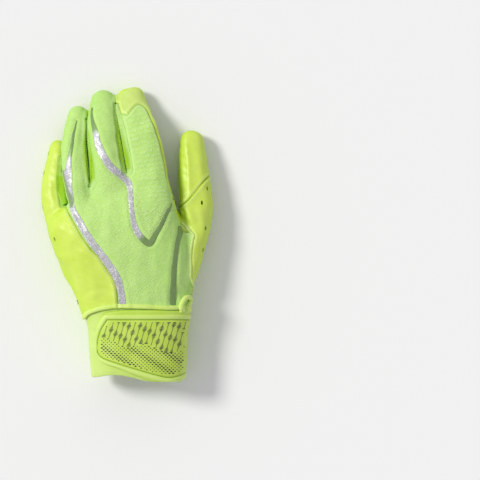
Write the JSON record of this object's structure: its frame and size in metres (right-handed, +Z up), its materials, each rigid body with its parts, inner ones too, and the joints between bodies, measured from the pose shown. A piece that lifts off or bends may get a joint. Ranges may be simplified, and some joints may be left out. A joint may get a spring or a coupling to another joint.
{
  "type": "football receiver glove",
  "caption": "Left-hand receiver glove for American football: knit back with reflective stripes, grip palm, open finger and wrist hollows, and a wrist strap with a moulded patch.",
  "frame": {"origin": "middle of the glove's box, on the floor that it lies on, palm down", "axes": "+Z up out of the back of the hand, +Y towards the fingertips, +X towards the thumb"},
  "size_m": [0.1334, 0.2318, 0.0494],
  "materials": {
    "knit": "matt ribbed knit, pale lime",
    "grip": "satin silicone-faced fabric, bright yellow-green",
    "side_mesh": "matt stretch mesh, lime",
    "film": "glittering silver reflective film",
    "cord": "matt, pale yellow-green",
    "neoprene": "smooth jersey-faced foam, pale yellow-green",
    "strap_rubber": "satin, yellow-green",
    "patch_rubber": "satin, yellow-green with a dark grey printed pattern"
  },
  "bodies": {
    "root": {"back_panel": "knit", "palm_panel": "grip", "side_panel": "grip", "thumb_cover": "grip", "thumb_base": "grip", "fourchette_index_middle": "side_mesh", "fourchette_middle_ring": "side_mesh", "fourchette_ring_little": "side_mesh", "stripe_outer": "film", "stripe_centre": "film", "stripe_inner": "film", "piping": "cord", "cuff": "neoprene", "strap": "strap_rubber", "strap_patch": "patch_rubber"}
  },
  "joints": []
}
